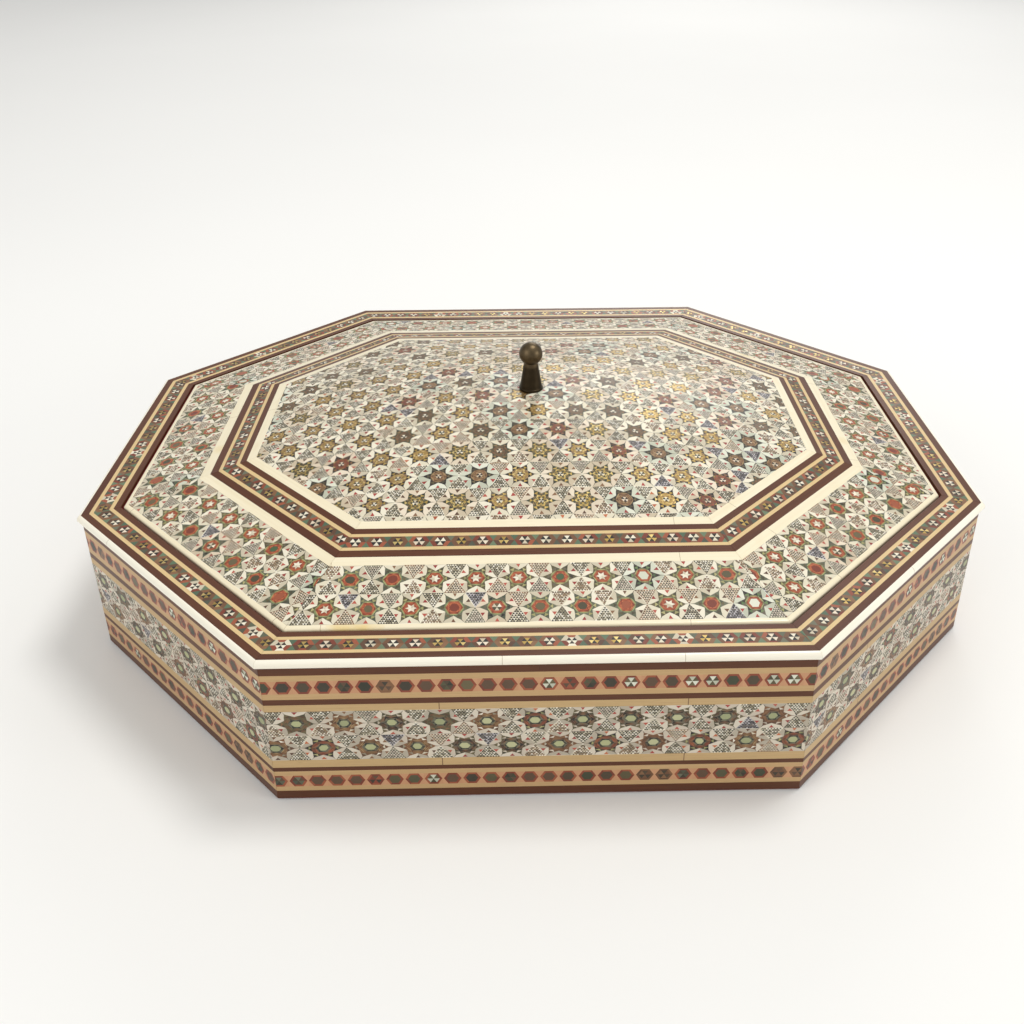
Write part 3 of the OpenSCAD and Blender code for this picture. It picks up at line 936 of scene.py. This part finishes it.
flowers = [flower_pieces(*kind) for kind in (
    (("brown",), ("black", "bone"), 0.52), (("rust", "brown"), ("black", "bone_warm"), 0.56),
    (("bone", "rust"), ("black", "bone"), 0.5), (("rust", "brown_mark"), ("black", "brass"), 0.52),
    (("brown", "rust"), ("bone", "black"), 0.54), (("brown", "brown_mark"), ("black", "brass"), 0.5))]
leaves = [[(rod, [(0, 0), spoke(240, HALF), spoke(300, HALF)])] for rod in ("teal", "slate")]

finishes = {
    "brown": strip_finish("brown_strip", linear(104, 56, 26), linear(62, 32, 15), linear(72, 32, 18),
                          drift=0.3),
    "yellow": strip_finish("yellow_line", linear(224, 200, 154), linear(200, 170, 116), linear(212, 184, 130),
                           grain=0.8, gloss=0.4, drift=1.3),
    "tan": strip_finish("tan_fillet", linear(202, 172, 126), linear(172, 142, 96), linear(190, 158, 108),
                        drift=2.1, joints=(0.19, 0.113)),
    "ground": strip_finish("tan_ground", linear(200, 168, 122), linear(174, 140, 96),
                           linear(186, 152, 106), drift=3.4),
    "ivory": bone_finish("ivory_strip", linear(240, 231, 204), linear(226, 212, 176), linear(220, 194, 124),
                         joints=(0.083, 0.02), mark=(-0.052, -0.1115)),
    "white": bone_finish("white_bead", linear(246, 242, 228), linear(238, 230, 208), linear(226, 210, 170),
                         drift=1.7, joints=(0.12, 0.05)),
    "board": board_finish("sawn_board", linear(204, 160, 106), linear(166, 118, 70)),
    "velvet": pile_finish("crimson_velvet", linear(140, 14, 30), linear(78, 4, 16)),
    "felt": pile_finish("base_felt", linear(84, 20, 36), linear(46, 8, 20)),
    # The knob's stem under its ball gets painted shade and dark reflection
    "brass": metal_finish("aged_brass", linear(118, 102, 77), linear(54, 45, 35), 0.4,
                          shaded_below=top_of("knob") - 8.2 * MM),
    "steel": metal_finish("plated_steel", linear(190, 190, 194), linear(150, 150, 156), 0.32),
    "washer": metal_finish("washer_brass", linear(206, 176, 104), linear(160, 130, 76), 0.3),
}

WALL_PITCH, SLOPE_PITCH, CENTRE_PITCH = 13.5 * MM, 12.4 * MM, 13.35 * MM
RIM_FLOWER_PITCH, LID_FLOWER_PITCH = 6.2 * MM, 6.5 * MM
UPPER_PITCH, LOWER_PITCH = 5.68 * MM, 5.62 * MM

# Wall star band: two rows fill it
low, high = foot_of("wall_star_band"), top_of("wall_star_band")
row = (high - low) / 2
wall_sheet = make_sheet("wall_star_sheet", 26, 2, WALL_PITCH, row, row * 2 / ROOT3, 4, wall_stars, checker,
                        drift=(1.6 * MM, 0.0, 0.0))
on_sides("wall_star_mosaic", wall_sheet, "box", "wall_star_band", "wall_star_inlay",
         lambda k: wall_outline(k, low, high),
         lambda k: (side_length(k) / 2 - (1.1 + 3.7 * (k % 3)) * MM, (low + high) / 2), wall_place)

# Wall strips of hexagons
for name, node, pitch, width, tall, seed in (
        ("wall_hexagon_tiles_upper", "wall_hexagons_upper", UPPER_PITCH, 5.3, 4.6, 11),
        ("wall_hexagon_tiles_lower", "wall_hexagons_lower", LOWER_PITCH, 5.2, 4.3, 12)):
    low, high = foot_of(node), top_of(node)
    part, height = width * MM / pitch / 2, tall * MM / (high - low) / 2
    cells = [cell_pieces(part, height, border, heart) for border, *heart in (
        ("rust", "plain", "heart", None), ("rust", "plain", "green_black", None),
        ("rust", "plain", "heart", None), ("rust", "plain", "heart", None),
        ("rust", "pinwheel", "green_black", "heart"), ("rust", "pinwheel", "rust", "heart"),
        ("rust", "plain", "olive", None), ("rust", "pinwheel", "heart", "slate"),
        ("brown", "pinwheel", "brown_mark", "heart"), ("rust", "pinwheel", "olive", "bone_pale"))]
    strip = make_sheet(name + "_sheet", 34, 1, pitch, high - low, high - low, seed, cells, [],
                       finishes["ground"])
    on_sides(name, strip, "box", node, "hexagon_inlay", lambda k: wall_outline(k, low, high),
             lambda k: (side_length(k) / 2 + 1.2 * MM * (k % 2), (low + high) / 2), wall_place)

# Flower bands of the rim and the lid
for name, body, node, within, pitch, height, seed in (
        ("rim_flowers", "box", "rim_flower_band", "rim_yellow_inner", RIM_FLOWER_PITCH,
         lambda y: top_of("rim_flower_band"), 21),
        ("lid_flowers", "lid", "lid_flower_band", "lid_yellow_inner", LID_FLOWER_PITCH, slope_z, 22)):
    outer, inner = inset_of(node), inset_of(within)
    band = make_sheet(name + "_sheet", 34, 1, pitch, pitch, pitch, seed, flowers, leaves)
    on_sides(name, band, body, node, "flower_inlay", lambda k: ring_outline(k, outer, inner),
             lambda k: (side_length(k) / 2 + 0.9 * MM * (k % 3), (outer + inner) / 2),
             lambda k: plan_place(k, height))

# Star band on the lid's slope: two rows fill it
outer, inner = inset_of("lid_star_band"), star_band_in
row = (inner - outer) / 2
slope_sheet = make_sheet("lid_star_sheet", 24, 2, SLOPE_PITCH, row, row * 2 / ROOT3, 31, lid_stars, checker,
                         drift=(1.5 * MM, 0.0, 0.0))
on_sides("lid_star_mosaic", slope_sheet, "lid", "lid_star_band", "lid_star_inlay",
         lambda k: ring_outline(k, outer, inner),
         lambda k: (side_length(k) / 2 + (-5.4 + 2.9 * (k % 4)) * MM, (outer + inner) / 2),
         lambda k: plan_place(k, slope_z))

# Domed centre
centre_row = CENTRE_PITCH * ROOT3 / 2
centre_sheet = make_sheet("centre_sheet", 18, 14, CENTRE_PITCH, centre_row, CENTRE_PITCH, 41, centre_stars,
                          checker, drift=(1.5 * MM, 1.5 * MM, 0.0))
dome = glued(sawn(centre_sheet, ring_corners(centre_in), (2.2 * MM, 1.4 * MM)),
             lambda x, y, depth: (x, y, dome_z(x, y) - depth), veneer, cell=8 * MM)
gathered("centre_mosaic", [dome], centre_sheet, "lid", "lid_centre_inlay", "centre_inlay")


# ---------------------------------------------------------------- pieces shaped along the sides

def swept(name, section, finish, gap=MITRE_GAP, steps=10):
    """Eight mitred lengths, or with no gap one hoop, of a closed section of (inset, height) points."""
    shape = bmesh.new()
    count = len(section)
    for k in range(SIDES):
        rings = []
        for s in range(steps + 1):
            rings.append([])
            for inset, height in section:
                a = corner(k, inset) + along(k) * gap
                b = corner(k + 1, inset) - along(k) * gap
                spot = a.lerp(b, s / steps)
                rings[-1].append(shape.verts.new((spot.x, spot.y, height)))
        for before, after in zip(rings, rings[1:]):
            for j in range(count):
                i = (j + 1) % count
                shape.faces.new([before[j], before[i], after[i], after[j]])
        if gap:
            shape.faces.new(rings[0][::-1])
            shape.faces.new(rings[-1])
    bmesh.ops.remove_doubles(shape, verts=shape.verts, dist=WELD / 4)
    bmesh.ops.recalc_face_normals(shape, faces=shape.faces)
    return finished(name, shape, finish, 38)


def arc(centre, radius_x, radius_z, start, end, steps):
    return [(centre[0] + radius_x * math.cos(math.radians(start + (end - start) * s / steps)),
             centre[1] + radius_z * math.sin(math.radians(start + (end - start) * s / steps)))
            for s in range(steps + 1)]


BELLY_HEIGHT, BELLY_ROUND = 0.3, 0.45   # where the bead is widest, and where its rounding starts
bead_low, bead_high = foot_of("white_edging"), top_of("white_edging")
bead_out = inset_of("white_edging")
bead_belly = bead_low + (bead_high - bead_low) * BELLY_HEIGHT
bead = swept("white_bead", [(veneer, bead_low)]
             + arc((bead_out * BELLY_ROUND, bead_belly), bead_out * (1 - BELLY_ROUND),
                   bead_belly - bead_low, 270, 360, 5)
             + arc((0.0, bead_belly), bead_out, bead_high - bead_belly, 0, 90, 9)[1:]
             + [(0.0, bead_high - veneer), (veneer, bead_high - veneer)], finishes["white"])
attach(bead, "box")
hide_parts("white_edging")

edge_out, edge_in = inset_of("lid_ivory_edge"), inset_of("lid_star_band")
edge_low, edge_top = foot_of("lid_ivory_edge"), slope_z(edge_out)
edge_round = 0.75 * MM
lip = swept("lid_ivory_lip", [(edge_in, edge_low), (edge_out, edge_low)]
            + [(edge_out + edge_round * (1 - math.cos(math.radians(a))),
                edge_top - edge_round + edge_round * math.sin(math.radians(a))
                + slope_rise * edge_round * a / 90)
               for a in range(0, 91, 15)]
            + [(edge_in, slope_z(edge_in))], finishes["ivory"])
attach(lip, "lid")
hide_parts("lid_ivory_edge")


# ---------------------------------------------------------------- velvet and felt

# From a cloth's edge inwards: how far in, and how much of its thickness it has there
EDGE_ROWS = ((0.0, 0.75), (0.25 * MM, 0.93), (0.8 * MM, 1.0))
FOLD = 0.5 * MM                 # how far a lining's inner corners are filled
PRESSED = 0.96                  # the lid's lining under its boards, as a share of its thickness
WAVE_SINK, WAVE_HEIGHT = 0.06, 0.05


def layer(name, outline, cell, top, thickness, finish):
    """A layer of cloth over an outline: top(x, y) is its upper face, rounded down at its edge."""
    loop = []
    for a, b in zip(outline, outline[1:] + outline[:1]):
        steps = max(1, round((Vector(b) - Vector(a)).length / cell))
        loop += [Vector(a).lerp(Vector(b), s / steps) for s in range(steps)]
    rows = [[p * (1 - back / half_d) for p in loop] for back, _ in EDGE_ROWS]
    inner = []
    for x in np.arange(-half_w, half_w, cell):
        for y in np.arange(-half_d, half_d, cell):
            spot = Vector((x, y))
            if inside(spot, [p * (1 - cell * 0.7 / half_d) for p in loop]):
                inner.append(spot)
    count = len(loop)
    spots, _, faces, _, _, _ = geometry.delaunay_2d_cdt(
        sum(rows, []) + inner, [], [list(range(count))], 1, WELD / 4)
    shape = bmesh.new()
    upper, under = [], []
    for number, spot in enumerate(spots):
        soft = EDGE_ROWS[number // count][1] if number < len(EDGE_ROWS) * count else 1.0
        high = top(spot.x, spot.y)
        upper.append(shape.verts.new((spot.x, spot.y, high - thickness * (1 - soft))))
        under.append(shape.verts.new((spot.x, spot.y, high - thickness)))
    for face in faces:
        shape.faces.new([upper[n] for n in face])
        shape.faces.new([under[n] for n in reversed(face)])
    for k in range(count):
        j = (k + 1) % count
        shape.faces.new([upper[j], upper[k], under[k], under[j]])
    bmesh.ops.recalc_face_normals(shape, faces=shape.faces)
    return finished(name, shape, finish)


def girth(inset):
    return sum((corner(k + 1, inset) - corner(k, inset)).length for k in range(SIDES))


def octagon_area(inset):
    w, d, c = reduced(inset)
    return 4 * w * d - 2 * c * c


def cloth(made, body, replaced, slot, flat, area=None):
    stands_for(made, body, slot, *replaced)


lining_t = top_of("velvet_ledge") - foot_of("velvet_ledge")
wall_in, ledge_in = inset_of("velvet_wall"), inset_of("velvet_sides")
ledge_z, rim_z, floor_z = foot_of("velvet_ledge"), top_of("velvet_wall"), foot_of("velvet_floor")


def ruffled(x, y):
    """A laid velvet is never quite flat."""
    wave = math.sin(x * 61 + math.sin(y * 47) * 1.3) * math.sin(y * 83 + x * 17)
    return top_of("velvet_floor") - (WAVE_SINK + WAVE_HEIGHT * wave) * MM


floor_cloth = layer("velvet_floor_cloth", ring_corners(ledge_in), 7 * MM, ruffled, lining_t * 0.8,
                    finishes["velvet"])
floor_size = (2 * (half_d - ledge_in), 2 * (half_w - ledge_in))
cloth(floor_cloth, "box", ["velvet_floor"], "velvet", floor_size,
      octagon_area(ledge_in))

nose = ledge_in + lining_t
side_cloth = swept("velvet_lining_cloth", [(wall_in, rim_z), (wall_in, ledge_z), (ledge_in, ledge_z),
                                           (ledge_in, top_of("velvet_floor")), (nose, top_of("velvet_floor"))]
                   + [(nose, floor_z + (ledge_z - floor_z) * s / 6) for s in range(1, 6)]
                   + arc((ledge_in, ledge_z), lining_t, lining_t, 0, 90, 6)
                   + [(wall_in + lining_t + FOLD, ledge_z + lining_t),
                      (wall_in + lining_t, ledge_z + lining_t + FOLD),
                      (wall_in + lining_t, rim_z - 0.2 * MM), (wall_in + lining_t * 0.6, rim_z)],
                   finishes["velvet"], gap=0.0, steps=16)
strip_width = (rim_z - ledge_z) + (ledge_in - wall_in) + (ledge_z - floor_z)
cloth(side_cloth, "box", ["velvet_sides", "velvet_ledge", "velvet_wall"], "velvet",
      (strip_width, girth(ledge_in)))

lid_in = inset_of("lid_velvet")
board_t = border_z - veneer - foot_of("lid_centre_board")
under_border = border_z - veneer - board_t - lining_t
flap_top, landing_z = foot_of("lid_ivory_edge"), foot_of("lid_velvet")
ramp_in, ramp_out = ledge_in + 4.0 * MM, ledge_in + 2.0 * MM
ramp_z = slope_z(ramp_in) - veneer - board_t - lining_t
lid_hoop = [(lid_in, flap_top), (lid_in, landing_z + FOLD), (lid_in + FOLD, landing_z),
            (ramp_out, landing_z), (ramp_in, ramp_z)]
lid_hoop += [(ramp_in + (centre_in - ramp_in) * s / 5, ramp_z + (under_border - ramp_z) * s / 5)
             for s in range(1, 6)]
lid_cloth = swept("lid_velvet_cloth", lid_hoop + [(centre_in, under_border + lining_t * PRESSED)]
                  + [(ramp_in, ramp_z + lining_t * PRESSED), (ramp_out, landing_z + lining_t * PRESSED),
                     (lid_in + lining_t, landing_z + lining_t * PRESSED), (lid_in + lining_t, flap_top)],
                  finishes["velvet"], gap=0.0, steps=16)
crown_cloth = layer("lid_velvet_crown", ring_corners(centre_in), 8 * MM,
                    lambda x, y: dome_z(x, y) - veneer - board_t, lining_t, finishes["velvet"])
both = bmesh.new()
both.from_mesh(lid_cloth.data)
both.from_mesh(crown_cloth.data)
both.to_mesh(lid_cloth.data)
both.free()
bpy.data.objects.remove(crown_cloth)
lid_size = (2 * (half_d - lid_in) + 6 * MM, 2 * (half_w - lid_in) + 6 * MM)
cloth(lid_cloth, "lid", ["lid_velvet"], "velvet", lid_size,
      octagon_area(lid_in) + girth(lid_in) * 3.4 * MM)

felt_in, felt_t = inset_of("base_felt"), top_of("base_felt")
felt_cloth = layer("base_felt_cloth", ring_corners(felt_in), 10 * MM, lambda x, y: felt_t, felt_t,
                   finishes["felt"])
felt_size = (2 * (half_d - felt_in), 2 * (half_w - felt_in))
cloth(felt_cloth, "box", ["base_felt"], "felt", felt_size, octagon_area(felt_in))


# ---------------------------------------------------------------- knob

def turned(name, profile, finish, around=48):
    """A solid of revolution about the box's axis from (radius, height) points, poles closed."""
    shape = bmesh.new()
    turns = [2 * math.pi * i / around for i in range(around)]
    rings = [[shape.verts.new((r * math.cos(a), r * math.sin(a), z)) for a in turns] for r, z in profile]
    for low, high in zip(rings, rings[1:]):
        for i in range(around):
            j = (i + 1) % around
            shape.faces.new([low[i], low[j], high[j], high[i]])
    shape.faces.new(rings[0][::-1])
    shape.faces.new(rings[-1])
    return finished(name, shape, finish, 45)


knob_low, knob_high = foot_of("knob"), top_of("knob")
ball_r, neck_r, foot_step = 4.25 * MM, 2.5 * MM, 0.3 * MM
ball_z = knob_high - ball_r
neck_angle = math.degrees(math.asin(neck_r / ball_r))
neck_z = ball_z - ball_r * math.cos(math.radians(neck_angle))
stem_r, stem_z = knob_foot - foot_step, knob_low + 1.0 * MM
stem = [(knob_foot * 0.97, knob_low), (knob_foot, knob_low + 0.25 * MM), (knob_foot, knob_low + 0.7 * MM),
        (knob_foot - 0.1 * MM, knob_low + 0.9 * MM), (stem_r, stem_z)]
stem += [(stem_r + (neck_r - stem_r) * s / 9, stem_z + (neck_z - stem_z) * s / 9) for s in range(1, 10)]
ball = [(ball_r * math.sin(math.radians(a)), ball_z - ball_r * math.cos(math.radians(a)))
        for a in np.linspace(neck_angle + 2, 176, 24)]
knob = turned("turned_knob", stem + ball, finishes["brass"])
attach(knob, "lid")
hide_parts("knob")


# ---------------------------------------------------------------- finishes of the carried-over parts

def paint(node, finish):
    shown = nodes[node]
    shown.data.materials.clear()
    shown.data.materials.append(finish)


WORDS = {"brown": "brown", "plinth": "brown", "yellow": "yellow", "fillet": "tan", "ivory": "ivory"}
BOARDS = ("base_board", "lid_boards", "lid_centre_board")
for node in nodes:
    kind = next((WORDS[word] for word in WORDS if word in node), None)
    if kind:
        paint(node, finishes[kind])
    elif node.startswith(("wall_", "ledge_")) or node in BOARDS:
        paint(node, finishes["board"])
paint("knob_screw", finishes["steel"])
paint("knob_washer", finishes["washer"])


# ---------------------------------------------------------------- floor, light and camera

FLOOR_REACH = 4


def floor_sweep():
    mesh = bpy.data.meshes.new("floor")
    corners = [(x * FLOOR_REACH, y * FLOOR_REACH, 0) for x, y in ((-1, -1), (1, -1), (1, 1), (-1, 1))]
    mesh.from_pydata(corners, [], [(0, 1, 2, 3)])
    made = set_out("floor", mesh)
    bench, shader, material = new_finish("paper_floor", {"Roughness": 0.9, "Specular IOR Level": 0.1})
    grey = noise(bench, object_place(bench), 3.0, 2.0)
    feed(bench, shader, "Base Color", blend(bench, grey, linear(236, 236, 234), linear(240, 240, 238)))
    mesh.materials.append(material)
    made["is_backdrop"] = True


def soft_light(name, place, aim, size, power, colour):
    lamp = bpy.data.lights.new(name, "AREA")
    lamp.shape, lamp.size, lamp.energy, lamp.color = "DISK", size, power, colour
    made = set_out(name, lamp)
    made.location = place
    made.rotation_euler = (Vector(aim) - Vector(place)).to_track_quat("-Z", "Y").to_euler()


floor_sweep()
soft_light("key", (0.36, 0.1, 1.25), (0, 0, 0.03), 0.4, 6.4, (1.0, 0.985, 0.955))
soft_light("back", (0.35, 1.8, 1.0), (0.0, 0, 0.05), 1.1, 7.5, (1.0, 0.99, 0.97))
soft_light("fill", (-1.1, -0.9, 0.8), (0, 0, 0.03), 1.0, 5.6, (1.0, 0.985, 0.96))
soft_light("side", (1.9, -0.8, 0.6), (0, 0, 0.03), 0.9, 10.5, (1.0, 0.99, 0.975))

world = bpy.data.worlds.new("studio")
bpy.context.scene.world = world
world.use_nodes = True
sky = world.node_tree.nodes["Background"].inputs
sky["Color"].default_value = (1.0, 0.995, 0.985, 1)
sky["Strength"].default_value = 0.62
bpy.context.scene.view_settings.view_transform = "Standard"

CAMERA_PLACE = (-0.004608, -0.351458, 0.248042)
HEADING, TILT_DOWN, ROLL = -1.015, 27.748, -0.281

lens = bpy.data.cameras.new("camera")
lens.sensor_width, lens.lens = 36.0, 37.65234375
lens.shift_x, lens.shift_y = -0.023046875, -0.098828125
lens.clip_start, lens.clip_end = 0.01, 20.0
camera = set_out("camera", lens)
turn = (Matrix.Rotation(math.radians(HEADING), 4, "Z") @ Matrix.Rotation(math.radians(90 - TILT_DOWN), 4, "X")
        @ Matrix.Rotation(math.radians(ROLL), 4, "Z"))
camera.matrix_world = Matrix.Translation(CAMERA_PLACE) @ turn
bpy.context.scene.camera = camera

low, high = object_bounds()
